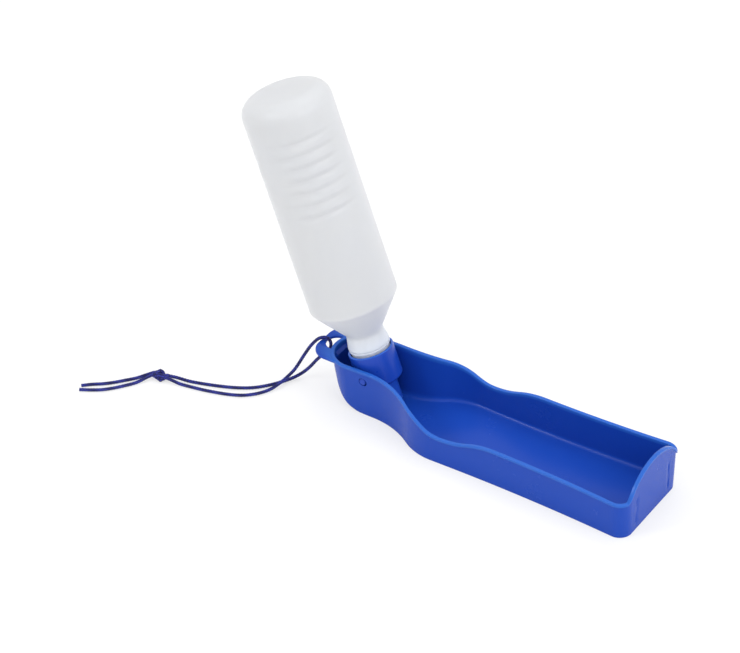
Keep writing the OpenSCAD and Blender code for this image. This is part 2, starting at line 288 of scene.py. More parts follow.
def mixColour(share, first, second):
    return addNode(share.id_data, "ShaderNodeMix", {0: share, 6: first, 7: second},
                   data_type="RGBA").outputs[2]


# Shader groups that several materials use

noise = {
    "driftRange": (0.35, 0.65),
    "smudgeRoughness": 0.62,
    "smudgeShare": 1.7,
    "fibreRoughness": 0.6,
    "patchShare": 0.06,
    # The third weight is for painted shading by how far a strand stands out
    "fleckAndShadeWeights": (0.4, 0.2, 0.6),
    "fleckAndShadeRange": (0.35, 0.9),
    "fibreRange": (0.3, 0.7),
    "yarnRoughness": (0.72, 0.92),
    "yarnBump": 0.2,
}


def newSurface(name, colours, numbers):
    tree, given, result = newGroup(name, "ShaderNodeTree", {"Color": colours, "Float": numbers},
                                   {"Color": ["Colour"], "Float": ["Roughness"], "Vector": ["Normal"]})
    place = addNode(tree, "ShaderNodeTexCoord").outputs["Object"]
    # A share of painted light that the mesh carries: a painted highlight on thin rims and the spout, painted blue
    # light and shade in the bottle's plastic near the cap, and painted shading that lightens the strands that stand
    # out
    tint = addNode(tree, "ShaderNodeAttribute", attribute_name="tint").outputs["Fac"]
    return tree, given, result, place, tint


def closeSurface(tree, result, colour, roughness, height, distance):
    normal = output(tree, "ShaderNodeBump", {"Height": height, "Distance": distance})
    for label, value in (("Colour", colour), ("Roughness", roughness), ("Normal", normal)):
        feed(result[label], value)
    return tree


def makeMouldedSurface():
    tree, given, result, place, tint = newSurface(
        "mouldedSurface", ["Colour", "Drift Colour", "Painted Light Colour"],
        ["Drift", "Drift Size", "Grain Size", "Grain Height", "Ripple Size", "Ripple Height", "Roughness",
         "Roughness Drift"])
    drift = mapRange(noiseOn(place, given["Drift Size"], 3), noise["driftRange"])
    colour = mixColour(times(drift, given["Drift"]), given["Colour"], given["Drift Colour"])
    smudge = noiseOn(place, given["Drift Size"], 5, noise["smudgeRoughness"], noise["smudgeShare"])
    spread = times(minus(smudge, 0.5), given["Roughness Drift"])
    ripple = times(noiseOn(place, given["Ripple Size"], 1), given["Ripple Height"])
    grain = times(noiseOn(place, given["Grain Size"], 2), given["Grain Height"])
    # The colour is mixed towards the painted light colour by the mesh's share of painted light
    return closeSurface(tree, result, mixColour(tint, colour, given["Painted Light Colour"]),
                        plus(given["Roughness"], spread), plus(ripple, grain), mm)


def makeYarnSurface():
    tree, given, result, place, tint = newSurface("yarnSurface", ["Colour", "Fleck And Highlight Colour"],
                                                  ["Fibre Size", "Fibre Height"])
    fibres = noiseOn(place, given["Fibre Size"], 3, noise["fibreRoughness"])
    patches = noiseOn(place, given["Fibre Size"], 2, share=noise["patchShare"])
    # Random flecks of fibres and patches, and painted shading by how far a strand stands out, mix towards the lighter
    # colour
    share = plus(*(times(value, weight) for value, weight in
                         zip((fibres, patches, tint), noise["fleckAndShadeWeights"])))
    colour = mixColour(mapRange(share, noise["fleckAndShadeRange"]), given["Colour"], given["Fleck And Highlight Colour"])
    roughness = mapRange(fibres, noise["fibreRange"], noise["yarnRoughness"])
    height = times(fibres, given["Fibre Height"])
    return closeSurface(tree, result, colour, roughness, height, noise["yarnBump"] * mm)


shaderGroups = {"moulded": makeMouldedSurface(), "yarn": makeYarnSurface()}

# What the moulded finishes share; a finish feeds its group's sockets, and the shader's with the rest
moulded = {"group": "moulded", "Drift": 0.5, "Roughness Drift": 0.1}

finishes = {
    "trayPlastic": {
        **moulded, "Colour": (0.008, 0.055, 0.39, 1), "Drift Colour": (0.01, 0.06, 0.405, 1),
        # Its third colour is the painted highlight on the rolled lip
        "Painted Light Colour": (0.02, 0.11, 0.49, 1), "Drift Size": 0.05, "Grain Size": 0.0006,
        "Grain Height": 0.006, "Ripple Size": 0.012, "Ripple Height": 0.03, "Roughness": 0.26,
        "IOR": 1.49, "Specular IOR Level": 0.18},
    "capPlastic": {
        **moulded, "Colour": (0.009, 0.052, 0.4, 1), "Drift Colour": (0.011, 0.058, 0.42, 1),
        # Its third colour is the painted highlight on the collar's rim and the painted light on the spout
        "Painted Light Colour": (0.024, 0.12, 0.54, 1), "Drift Size": 0.03, "Grain Size": 0.0006,
        "Grain Height": 0.005, "Ripple Size": 0.01, "Ripple Height": 0.02, "Roughness": 0.28,
        "IOR": 1.49, "Specular IOR Level": 0.25},
    "bottlePlastic": {
        **moulded, "Colour": (0.69, 0.71, 0.75, 1), "Drift Colour": (0.705, 0.718, 0.742, 1), "Drift": 0.6,
        # Its third colour is painted blue light and shade from the cap, towards the neck
        "Painted Light Colour": (0.6, 0.65, 0.75, 1), "Drift Size": 0.035, "Grain Size": 0.0009,
        "Grain Height": 0.01, "Ripple Size": 0.016, "Ripple Height": 0.05, "Roughness": 0.4, "IOR": 1.5,
        "Subsurface Weight": 0.7, "Subsurface Radius": (0.008, 0.008, 0.008), "Subsurface Scale": 1.0},
    "sealRubber": {
        **moulded, "Colour": (0.02, 0.02, 0.022, 1), "Drift Colour": (0.035, 0.035, 0.037, 1),
        "Drift Size": 0.004, "Grain Size": 0.0003, "Grain Height": 0.02, "Ripple Size": 0.003,
        "Ripple Height": 0.02, "Roughness": 0.6, "IOR": 1.5},
    "washerFoam": {
        **moulded, "Colour": (0.62, 0.64, 0.67, 1), "Drift Colour": (0.7, 0.7, 0.72, 1), "Drift": 0.6,
        "Drift Size": 0.003, "Grain Size": 0.00025, "Grain Height": 0.08, "Ripple Size": 0.003,
        "Ripple Height": 0.04, "Roughness": 0.75, "IOR": 1.45},
    "cordYarn": {
        # The lighter colour serves random flecks and the painted shading of strands that stand out
        "group": "yarn", "Colour": (0.004, 0.004, 0.05, 1), "Fleck And Highlight Colour": (0.03, 0.042, 0.36, 1),
        "Fibre Size": 0.00022, "Fibre Height": 0.5, "IOR": 1.45, "Sheen Weight": 0.05},
}


def makeMaterial(name):
    finish = dict(finishes[name])
    material = bpy.data.materials.new(name)
    material.use_nodes = True
    material.diffuse_color = finish["Colour"]
    tree = material.node_tree
    shader = tree.nodes["Principled BSDF"]
    surface = addNode(tree, "ShaderNodeGroup", node_tree=shaderGroups[finish.pop("group")])
    for label, value in finish.items():
        feed((surface if label in surface.inputs else shader).inputs[label], value)
    for label, socket in (("Colour", "Base Color"), ("Roughness", "Roughness"), ("Normal", "Normal")):
        feed(shader.inputs[socket], surface.outputs[label])
    return material


materials = {name: makeMaterial(name) for name in finishes}
print("materials made")


# Mesh helpers; sizes are in millimetres until a mesh is made

def mix(a, b, share):
    return a + (b - a) * share


def pick(values, *keys):
    return [values[key] for key in keys]


def meshFrom(name, points, faces, edges=()):
    mesh = bpy.data.meshes.new(name)
    mesh.from_pydata([Vector(p) * mm for p in points], edges, faces)
    mesh.update()
    return mesh


def tidyMesh(mesh, sharpAngle=32):
    work = bmesh.new()
    work.from_mesh(mesh)
    bmesh.ops.remove_doubles(work, verts=work.verts, dist=2e-7)
    bmesh.ops.dissolve_degenerate(work, edges=work.edges, dist=1e-7)
    bmesh.ops.recalc_face_normals(work, faces=work.faces)
    for face in work.faces:
        face.smooth = True
    for edge in work.edges:
        edge.smooth = len(edge.link_faces) == 2 and edge.calc_face_angle(0) < radians(sharpAngle)
    work.to_mesh(mesh)
    work.free()
    return mesh


def joined(*meshes):
    work = bmesh.new()
    for mesh in meshes:
        work.from_mesh(mesh)
    whole = bpy.data.meshes.new("whole")
    work.to_mesh(whole)
    work.free()
    return whole


def plainMesh(piece, *helpers):
    # The mesh that the modifiers give, without the objects that it came from
    bpy.context.view_layer.update()
    graph = bpy.context.evaluated_depsgraph_get()
    mesh = bpy.data.meshes.new_from_object(piece.evaluated_get(graph), depsgraph=graph)
    piece.modifiers.clear()
    for used in (piece, *helpers):
        bpy.data.objects.remove(used)
    return mesh


def combined(mesh, other, operation):
    body, tool = addObject("body", mesh), addObject("tool", other)
    modifier = body.modifiers.new("combine", "BOOLEAN")
    modifier.object = tool
    modifier.operation = operation
    modifier.solver = "EXACT"
    return plainMesh(body, tool)


def newShaper(name, counts, numbers):
    return newGroup(name, "GeometryNodeTree", {
        "Geometry": ["Start Shape"], "Material": ["Material"], "Int": counts, "Float": numbers},
        {"Geometry": ["Shape"]})


def closeShaper(tree, given, result, shape):
    # Geometry trees end in real geometry that carries its material
    real = output(tree, "GeometryNodeRealizeInstances", {0: shape})
    feed(result["Shape"], output(tree, "GeometryNodeSetMaterial", {
        "Geometry": real, "Material": given["Material"]}))
    return tree


def throughTree(mesh, tree, material, lengths, **numbers):
    carrier = addObject("carrier", mesh)
    modifier = carrier.modifiers.new(tree.name, "NODES")
    modifier.node_group = tree
    sockets = {item.name: item.identifier for item in tree.interface.items_tree if item.in_out == "INPUT"}
    values = {label: length * mm for label, length in lengths.items()}
    for label, value in {**values, **numbers, "Material": materials[material]}.items():
        modifier[sockets[label]] = value
    return plainMesh(carrier)


def withPaintedLight(mesh, rule):
    # Shares of painted light from 0 to 1 by each point's place in millimetres
    tint = mesh.attributes.new("tint", "FLOAT", "POINT")
    for share, vertex in zip(tint.data, mesh.vertices):
        share.value = min(1, max(0, rule(vertex.co / mm)))
    return mesh


def finishPiece(name, mesh, material, body, slot, *nodes):
    mesh.name = name
    mesh.materials.clear()
    mesh.materials.append(materials[material])
    mesh.polygons.foreach_set("material_index", [0] * len(mesh.polygons))
    piece = addObject(name, mesh)
    if nodes:
        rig.replaces(piece, *nodes)
    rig.ride(piece, body)
    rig.slot(piece, slot)
    return piece


def arc(centre, radius, fromAngle, toAngle, steps=6):
    angles = [radians(mix(fromAngle, toAngle, k / steps)) for k in range(steps + 1)]
    return [(centre[0] + radius * cos(a), centre[1] + radius * sin(a)) for a in angles]


def roundedLine(corners, closed=False, steps=5):
    line = []
    count = len(corners)
    for i, (r, s, rounding) in enumerate(corners):
        here = Vector((r, s))
        if rounding == 0 or (not closed and i in (0, count - 1)):
            line.append(here)
            continue
        before = (Vector(corners[i - 1][:2]) - here).normalized()
        after = (Vector(corners[(i + 1) % count][:2]) - here).normalized()
        half = before.angle(after) / 2
        centre = here + (before + after).normalized() * (rounding / sin(half))
        start = here + before * (rounding / tan(half)) - centre
        end = here + after * (rounding / tan(half)) - centre
        sweep = atan2(start.x * end.y - start.y * end.x, start.dot(end))
        for k in range(steps + 1):
            turn = Matrix.Rotation(sweep * k / steps, 2)
            line.append(centre + turn @ start)
    return line


def withRows(line, low, high, step):
    result = [line[0]]
    for a, b in zip(line, line[1:]):
        inside = low <= (a.y + b.y) / 2 <= high and abs(a.x - b.x) < abs(a.y - b.y)
        cuts = max(1, ceil(abs(b.y - a.y) / step)) if inside else 1
        result += [a.lerp(b, k / cuts) for k in range(1, cuts + 1)]
    return result


# A line that meets the axis stops this far from it, so that each of its rings stays open
nearAxis = 0.0002


def lathe(name, line, sides=128, reshape=None):
    points, faces = [], []
    for p in line:
        for k in range(sides):
            angle = 2 * pi * k / sides
            spot = Vector((p[0] * cos(angle), p[0] * sin(angle), p[1]))
            points.append(reshape(spot) if reshape else spot)
    rows = len(line)
    for j in range(rows):
        a, b = j * sides, (j + 1) % rows * sides
        faces += [(a + k, a + (k + 1) % sides, b + (k + 1) % sides, b + k) for k in range(sides)]
    return meshFrom(name, points, faces)


# The cord: one length of braided cord in three stretches, with its knot

cord = {
    "diameter": 2.6,
    "coreRadius": 1.1,
    "strandRadius": 0.5,
    "strands": 8,
    "pitch": 8.0,
    "weave": 0.1,
    "step": 0.45,
    "coreSides": 10,
    "strandSides": 6,
    "sharpAngle": 60,
    "knotPlace": (-250, -60, 3.8),
    "knotTurn": 14,
    "knotHalfLength": 3.2,
    "knotHalfWidth": 2.6,
    "knotHalfHeight": 2.3,
    "knotStrandGap": 1.2,
    "knotSwell": 1.15,
    "knotSpan": 1.98,
    "knotSteps": 48,
    "loopRoute": [
        (-245.1, -60.4, 3.8), (-240, -59.6, 3), (-234, -58.4, 1.5), (-226, -57, 1.4), (-216, -55, 1.4),
        (-206, -52.2, 1.4), (-197, -49, 1.4), (-189, -44.6, 1.4), (-182.4, -38, 1.4),
        (-177.8, -30.4, 1.6), (-174.8, -22.6, 3.2), (-172.6, -16, 5.6), (-170, -11, 9.6),
        (-167.6, -8.2, 15), (-164.4, -6.4, 22), (-160.8, -5.4, 29), (-157, -5, 35),
        (-153.6, -3.8, 39), (-150.6, -1.8, 40), (-148, -0.8, 39.6), (-146.2, -0.8, 38),
        (-145.2, -1.4, 35.8), (-145.2, -2.4, 33), (-146.6, -3.8, 30.4), (-150, -5.4, 27),
        (-154.2, -6, 21.8), (-158.4, -6, 15.6), (-162.4, -6, 10.2), (-167, -6.8, 5),
        (-171.8, -10.8, 1.6), (-176.2, -18.8, 1.4), (-181.8, -27, 1.4), (-188.8, -34.4, 1.4),
        (-198, -40.4, 1.4), (-208, -45, 1.4), (-219, -49, 1.4), (-230, -52.4, 1.5), (-238, -55.2, 3),
        (-244.4, -57.6, 3.8)],
    "tailNearRoute": [
        (-254.2, -62.5, 3.8), (-257.2, -67, 2.6), (-260.6, -73.6, 1.4), (-265.4, -80.8, 1.4),
        (-270, -86.8, 1.4), (-275.6, -92.6, 1.4), (-281.6, -96.8, 1.4), (-289, -101, 1.4)],
    "tailFarRoute": [
        (-255, -59.9, 3.8), (-258.6, -63.4, 2.6), (-263.4, -69.2, 1.4), (-268.6, -75.6, 1.4),
        (-273.6, -81.6, 1.4), (-279.4, -87.2, 1.4), (-285.4, -91.8, 1.4), (-290.6, -96.6, 1.4)],
    "loopLength": 0.283,
    "tailNearLength": 0.053,
    "tailFarLength": 0.052,
}


def makeBraid():
    tree, given, result = newShaper("braidedCord", ["Strands"], [
        "Outer Radius", "Core Radius", "Strand Radius", "Pitch", "Weave", "Step"])

    def tube(path, radius, sides):
        ring = output(tree, "GeometryNodeCurvePrimitiveCircle", {"Resolution": sides, "Radius": radius})
        return output(tree, "GeometryNodeCurveToMesh", {
            "Curve": path, "Profile Curve": ring, "Fill Caps": True})

    spline = output(tree, "GeometryNodeMeshToCurve", {"Mesh": given["Start Shape"]})
    line = output(tree, "GeometryNodeResampleCurve", {"Curve": spline, "Length": given["Step"]},
                  mode="LENGTH")
    copies = addNode(tree, "GeometryNodeDuplicateElements", {"Geometry": line, "Amount": given["Strands"]},
                     domain="SPLINE").outputs
    index = copies["Duplicate Index"]
    # Every second strand winds the other way round and passes over and under the rest
    side = minus(times(calc("MODULO", index, 2.0), 2.0), 1.0)
    along = addNode(tree, "GeometryNodeSplineParameter").outputs["Length"]
    turns = times(side, over(along, given["Pitch"]))
    pairs = over(given["Strands"], 2.0)
    first = over(calc("FLOOR", over(index, 2.0)), pairs)
    angle = times(plus(turns, first), 2 * pi)
    lift = times(side, calc("COSINE", times(angle, pairs)))
    middle = minus(given["Outer Radius"], given["Strand Radius"], given["Weave"])
    radius = plus(middle, times(lift, given["Weave"]))
    normal = output(tree, "GeometryNodeInputNormal")
    across = vectorCalc("CROSS_PRODUCT", output(tree, "GeometryNodeInputTangent"), normal)
    offset = vectorCalc("ADD", *(
        vectorCalc("SCALE", vector, times(radius, calc(wave, angle)))
        for vector, wave in ((normal, "COSINE"), (across, "SINE"))))
    moved = output(tree, "GeometryNodeSetPosition", {"Geometry": copies["Geometry"], "Offset": offset})
    # How far each strand stands out is kept for the yarn's colour, as painted shading: strands that stand out are
    # painted lighter, sunken ones darker
    marked = output(tree, "GeometryNodeStoreNamedAttribute", {
        "Geometry": moved, "Name": "tint", "Value": plus(times(lift, 0.5), 0.5)},
        data_type="FLOAT", domain="POINT")
    whole = output(tree, "GeometryNodeJoinGeometry", {0: [
        tube(line, given["Core Radius"], cord["coreSides"]),
        tube(marked, given["Strand Radius"], cord["strandSides"])]})
    return closeShaper(tree, given, result, whole)


braidTree = makeBraid()


def smoothRoute(route, cuts=8):
    points = [Vector(p) for p in route]
    ends = [points[0] * 2 - points[1]] + points + [points[-1] * 2 - points[-2]]
    line = []
    for a, b, c, d in zip(ends, ends[1:], ends[2:], ends[3:]):
        for k in range(cuts):
            t = k / cuts
            line.append(0.5 * (2 * b + (c - a) * t + (2 * a - 5 * b + 4 * c - d) * t * t
                               + (3 * b - a - 3 * c + d) * t ** 3))
    return line + [points[-1]]


def braid(line, swell=1):
    wire = meshFrom("wire", line, [], [(i, i + 1) for i in range(len(line) - 1)])
    mesh = throughTree(wire, braidTree, "cordYarn", {
        "Outer Radius": cord["diameter"] / 2 * swell, "Core Radius": cord["coreRadius"] * swell,
        "Strand Radius": cord["strandRadius"], "Pitch": cord["pitch"], "Weave": cord["weave"],
        "Step": cord["step"]}, Strands=cord["strands"])
    return tidyMesh(mesh, cord["sharpAngle"])


def knotLines():
    # A doubled overhand knot, from the loop's two ends to the two tails
    turn = Matrix.Rotation(radians(cord["knotTurn"]), 3, "Z")
    place = Vector(cord["knotPlace"])
    thickness = cord["diameter"] * cord["knotSwell"]
    span, steps = pick(cord, "knotSpan", "knotSteps")
    middle = []
    for k in range(steps + 1):
        t = mix(-span, span, k / steps)
        middle.append(Vector((-(t ** 5 - 10 * t) / 12 * cord["knotHalfLength"],
                              (t ** 4 - 4 * t * t + 2) / 2 * cord["knotHalfWidth"],
                              (t ** 3 - 3 * t) / 2 * cord["knotHalfHeight"])))
    lines = []
    for side, start, end in ((-1, cord["loopRoute"][0], cord["tailNearRoute"][0]),
                             (1, cord["loopRoute"][-1], cord["tailFarRoute"][0])):
        line = []
        for i in range(1, len(middle) - 1):
            along = (middle[i + 1] - middle[i - 1]).normalized()
            across = along.cross(middle[i]).normalized() * cord["knotStrandGap"] * side
            spot = place + turn @ (middle[i] + across)
            spot.z = min(max(spot.z, thickness / 2), 2 * place.z - thickness / 2)
            line.append(spot)
        # Every third point, without those beside the cord's own ends
        lines.append(smoothRoute([Vector(start)] + line[3:-3:3] + [Vector(end)], cuts=6))
    return lines


def makeCords():
    strands = [braid(line, cord["knotSwell"]) for line in knotLines()]
    knot = finishPiece("cordKnot", joined(*strands), "cordYarn", "tray", "cord", "cord_knot")
    for name, route, node, length, farEnd, pieces in (
            ("cordLoop", "loopRoute", "cord_loop", "loopLength", "knot", [knot]),
            ("cordTailNear", "tailNearRoute", "cord_tail_near", "tailNearLength", "bare", []),
            ("cordTailFar", "tailFarRoute", "cord_tail_far", "tailFarLength", "bare", [])):
        line = smoothRoute(cord[route])
        piece = finishPiece(name, braid(line), "cordYarn", "tray", "cord", node)
        path = [tuple(p * mm) for p in line]
        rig.cord(piece, exit=path[0], length=cord[length], diameter=cord["diameter"] * mm, far_end=farEnd,
                stiffness="limp", lay="loose", path=path, with_pieces=pieces)


makeCords()
print("cords made")


# The tray: one moulding, a ring of outline points carried up outside, over the rim and down inside

tray = {
    "baseLength": 216,
    "wall": 1.8,
    "floor": 2,
    "rim": 29.5,
    "dip": 22.1,
    "crest": 39.8,
    "headRim": 38.2,
    "arch": 47.4,
    "archRadius": 37.2,
    "archBlend": 1.2,
    "cornerRadius": 9.5,
    "sideLean": 0.5,
    "headLean": 0.08,
    "bowRadius": 1300,
    "bowSpread": 0.15,
    "waistHalf": 33,
    "waistPlace": 4,
    "headHalf": 16.6,
    "dipPlace": -36,
    "levelPlace": 6,
    "crestPlace": -102,
    "narrowPlace": -45,
    "headPlace": -101,
    "headEnd": 135.4,
    "endLean": 0.155,
    "neckShare": 0.41,
    "dipShare": 0.52,
    "crestShare": 0.2,
    "pivotPlace": -108,
    "keelRadius": 30,
    "keelBlend": 3.5,
    "flareHeight": 33,
    "flare": 1.5,
    "footRound": 0.8,
    "floorRound": 3,
    "flatInset": 0.4,
    "lipWidth": 1,
    "lipHeight": 1.8,
    "lipOuterRound": 0.55,
    "lipLowerRound": 0.3,
    "lipInnerRound": 0.6,
    "lipFoot": 0.4,
    # How far below the rim the painted highlight on the lip reaches, how it fades, and its gap round the head
    "highlightBelow": 1,
    "highlightFade": 1.2,
    "highlightGap": 0.2,
    "markPlace": 21.2,
    "markDepth": 0.8,
    "markHalfWidth": 0.8,
    "markSpread": (1.5, 0.8),
    "markHeights": (4, 8, 24, 30),
    "tabReach": 10.8,
    "tabHalf": 18.4,
    "tabBar": 3.4,
    "tabSlotRadius": 7.6,
    "tabRound": 12,
    "tabThickness": 2,
    "tabTop": 38.1,
    "tabEdge": 0.4,
    "tabSpread": 65,
    "tabSideEnd": 9,
    "pinHoleRadius": 3.2,
    "pinHoleDepth": 4,
    "pinHoleShift": (0.54, 0.14),
    "endStops": (0, .07, .14, .21, .28, .35, .42, .49, .56, .63, .7, .76, .8, .825, .84, .85, .86, .87,
                 .88, .89, .9, .91, .92, .935, .955, .98),
    "cornerCuts": 18,
    "sideCuts": (26, 28, 44),
    "headCuts": 52,
    "keelCuts": 30,
    "wallCuts": 5,
}


def smoothHeight(x, p, q, share):
    # Two arcs that join p and q and are level there
    run = abs(q[0] - p[0])
    turn = 2 * atan2(abs(q[1] - p[1]), run)
    first, second = run * share / sin(turn), run * (1 - share) / sin(turn)
    up = copysign(1, q[1] - p[1])
    along = abs(x - p[0])
    if along < run * share:
        return p[1] + up * (first - sqrt(first ** 2 - along ** 2))
    return q[1] - up * (second - sqrt(second ** 2 - (run - along) ** 2))


def headHalf(z):
    return tray["headHalf"] + tray["headLean"] * z


def headReach(z):
    return tray["headEnd"] + tray["endLean"] * z


def sideHalf(x, z):
    bow = (x - tray["waistPlace"]) ** 2 / (2 * tray["bowRadius"])
    spread = mix(1 - tray["bowSpread"], 1 + tray["bowSpread"], z / tray["rim"])
    return tray["waistHalf"] + tray["sideLean"] * z / tray["rim"] + bow * spread


def halfWidth(x, z):
    if x >= tray["narrowPlace"]:
        return sideHalf(x, z)
    return smoothHeight(x, (tray["narrowPlace"], sideHalf(tray["narrowPlace"], z)),
                        (tray["headPlace"], headHalf(z)), tray["neckShare"])


def rimHeight(x, y):
    if x > tray["baseLength"] / 2 - tray["cornerRadius"]:
        arch = tray["arch"] - tray["archRadius"] + sqrt(max(0, tray["archRadius"] ** 2 - y * y))
        gap = arch - tray["rim"]
        blend = tray["archBlend"]
        if abs(gap) < blend:
            return tray["rim"] + (gap + blend) ** 2 / (4 * blend)
        return max(arch, tray["rim"])
    level, dip, crest = ((tray[place], tray[height]) for place, height in (
        ("levelPlace", "rim"), ("dipPlace", "dip"), ("crestPlace", "crest")))
    if x > level[0]:
        return tray["rim"]
    if x > dip[0]:
        return smoothHeight(x, level, dip, tray["dipShare"])
    if x > crest[0]:
        return smoothHeight(x, dip, crest, tray["crestShare"])
    return mix(tray["crest"], tray["headRim"], (crest[0] - x) / (crest[0] + headReach(tray["headRim"])))


def keelReach(z, radius):
    if z < tray["keelRadius"]:
        return sqrt(max(0, radius ** 2 - (tray["keelRadius"] - z) ** 2))
    return radius + tray["flare"] * max(0, z - tray["flareHeight"])


def headRay(angle, z, inset):
    radius = headHalf(z) - inset
    centre = tray["headPlace"] + tray["headEnd"] + tray["endLean"] * z - headHalf(z)
    across, along = cos(angle), sin(angle)
    if radius * along < centre * across:
        reach = radius / across
    else:
        reach = centre * along + sqrt(radius ** 2 - (centre * across) ** 2)
    share = min(1, max(0, inset / tray["wall"]))
    keel = keelReach(z, tray["keelRadius"] - tray["floor"] * share)
    if along < 1e-6:
        return reach
    keelRay = (tray["headPlace"] - tray["pivotPlace"] + keel) / along
    overlap = max(0, 1 - abs(reach - keelRay) / tray["keelBlend"])
    return min(reach, keelRay) - (1 - share) * tray["keelBlend"] * overlap ** 2 / 4


def outlineStops():
    # Stops round the near half: y shares of the end wall, corner angles, side places, head angles
    corners, heads = pick(tray, "cornerCuts", "headCuts")
    places = [tray["baseLength"] / 2 - tray["cornerRadius"],
              *pick(tray, "levelPlace", "narrowPlace", "headPlace")]
    stops = [("end", share) for share in tray["endStops"]]
    stops += [("corner", radians(90 * k / corners)) for k in range(corners)]
    stops += [("side", mix(a, b, k / cuts)) for a, b, cuts in zip(places, places[1:], tray["sideCuts"])
              for k in range(cuts)]
    return stops + [("head", radians(90 * k / heads)) for k in range(heads + 1)]


def outlinePoint(stop, z, inset):
    kind, value = stop
    end, corner = tray["baseLength"] / 2, tray["cornerRadius"]
    if kind == "end":
        return end - inset, (corner - halfWidth(end - corner, z)) * value
    if kind == "corner":
        return (end - corner + (corner - inset) * cos(value),
                corner - halfWidth(end - corner, z) - (corner - inset) * sin(value))
    if kind == "side":
        return value, inset - halfWidth(value, z)
    reach = headRay(value, z, inset)
    return tray["headPlace"] - reach * sin(value), -reach * cos(value)


def fillet(height, radius):
    return radius - sqrt(radius ** 2 - (radius - height) ** 2) if height < radius else 0


def markCut(y, z):
    # The two upright marks on the outside of the end wall
    low, rise, fall, top = tray["markHeights"]
    fade = min(1, max(0, (z - low) / (rise - low)), max(0, (top - z) / (top - fall)))
    width = tray["markHalfWidth"] * mix(*tray["markSpread"], max(0, min(1, z / top)))
    return tray["markDepth"] * fade * max(0, 1 - abs(abs(y) - tray["markPlace"]) / width)


def trayShell():
    stops = outlineStops()
    rims = [rimHeight(*outlinePoint(stop, tray["rim"], 0)) for stop in stops]

    def ring(level, low, drop, inset, outside=False):
        near = []
        for stop, rim in zip(stops, rims):
            z = mix(low, rim - drop, level)
            x, y = outlinePoint(stop, z, inset)
            if outside and stop[0] == "end":
                x -= markCut(y, z)
            near.append(Vector((x, y, z)))
        return near + [Vector((p.x, -p.y, p.z)) for p in near[-2:0:-1]]

    lip, foot, low = pick(tray, "lipHeight", "lipFoot", "lipLowerRound")
    width, outer, inner = pick(tray, "lipWidth", "lipOuterRound", "lipInnerRound")
    wall, floor, flat = pick(tray, "wall", "floor", "flatInset")
    footRound, floorRound = pick(tray, "footRound", "floorRound")

    def levels(keel, top, last):
        # Shares of the height, close together low on the keel and even above it
        cuts = tray["keelCuts"]
        shares = [keel * (1 - cos(radians(90 * k / cuts))) / top for k in range(cuts + 1)]
        return shares + [mix(shares[-1], 1, k / tray["wallCuts"]) for k in range(1, last + 1)]

    outerRise = tray["rim"] - lip - foot
    rings = [ring(0, 0, lip, footRound + flat)]
    for level in levels(tray["keelRadius"], tray["headRim"] - lip - foot, tray["wallCuts"]):
        rings.append(ring(level, 0, lip + foot, fillet(level * outerRise, footRound), outside=True))
    # The lip's section, as inset and drop below the rim
    section = arc((-foot, lip + foot), foot, 0, -90)[1:] + arc((low - width, lip - low), low, 90, 180) \
        + arc((outer - width, outer), outer, 180, 270) + arc((wall - inner, inner), inner, 270, 360)
    rings += [ring(1, 0, drop, inset) for inset, drop in section]
    innerRise = tray["rim"] - inner - floor
    for level in reversed(levels(tray["keelRadius"] - floor, tray["headRim"] - inner - floor,
                                 tray["wallCuts"] - 1)):
        rings.append(ring(level, floor, inner, wall + fillet(level * innerRise, floorRound)))
    rings.append(ring(0, floor, inner, wall + floorRound + flat))

    count = len(rings[0])
    faces = [(j + i, j + (i + 1) % count, j + count + (i + 1) % count, j + count + i)
             for j in range(0, (len(rings) - 1) * count, count) for i in range(count)]
    last = (len(rings) - 1) * count
    faces += [tuple(range(count - 1, -1, -1)), tuple(range(last, last + count))]
    return tidyMesh(meshFrom("tray", [p for r in rings for p in r], faces))


def tabOutline():
    # One outline: round the tab's outside, then back along the head and round the slot
    rimEnd = headReach(tray["headRim"])
    end, rounding, half = -(rimEnd + tray["tabReach"]), tray["tabRound"], tray["tabHalf"]
    back = headHalf(tray["headRim"]) - rimEnd
    hollow = headHalf(tray["headRim"]) + tray["lipWidth"] / 2 - tray["wall"]
    slotRadius = tray["tabSlotRadius"]
    slotPlace = end + tray["tabBar"] + slotRadius
    gap = back - slotPlace
    meeting = (gap ** 2 + hollow ** 2 - slotRadius ** 2) / (2 * gap)
    hollowAngle = degrees(acos(meeting / hollow))
    slotAngle = degrees(acos((gap - meeting) / slotRadius))
    reach, sideEnd = tray["tabSpread"], back - tray["tabSideEnd"]
    outline = arc((end + rounding, half - rounding), rounding, 90, 180, steps=20)
    outline += arc((end + rounding, rounding - half), rounding, 180, 270, steps=20) + [(sideEnd, -half)]
    outline += arc((back, 0), hollow, 180 + reach, 180 + hollowAngle, steps=24)
    outline += arc((slotPlace, 0), slotRadius, -slotAngle, slotAngle - 360, steps=48)[1:-1]
    outline += arc((back, 0), hollow, 180 - hollowAngle, 180 - reach, steps=24) + [(sideEnd, half)]
    return outline


def tabPlate():
    edge, thickness = pick(tray, "tabEdge", "tabThickness")
    curve = bpy.data.curves.new("cordTab", "CURVE")
    curve.dimensions = "2D"
    curve.fill_mode = "BOTH"
    curve.extrude = (thickness / 2 - edge) * mm
    curve.bevel_depth = edge * mm
    curve.bevel_resolution = 3
    curve.offset = -edge * mm
    outline = tabOutline()
    spline = curve.splines.new("POLY")
    spline.points.add(len(outline) - 1)
    for point, (x, y) in zip(spline.points, outline):
        point.co = (x * mm, y * mm, 0, 1)
    spline.use_cyclic_u = True
    mesh = plainMesh(addObject("cordTab", curve))
    mesh.transform(Matrix.Translation((0, 0, (tray["tabTop"] - thickness / 2) * mm)))
    return tidyMesh(mesh)


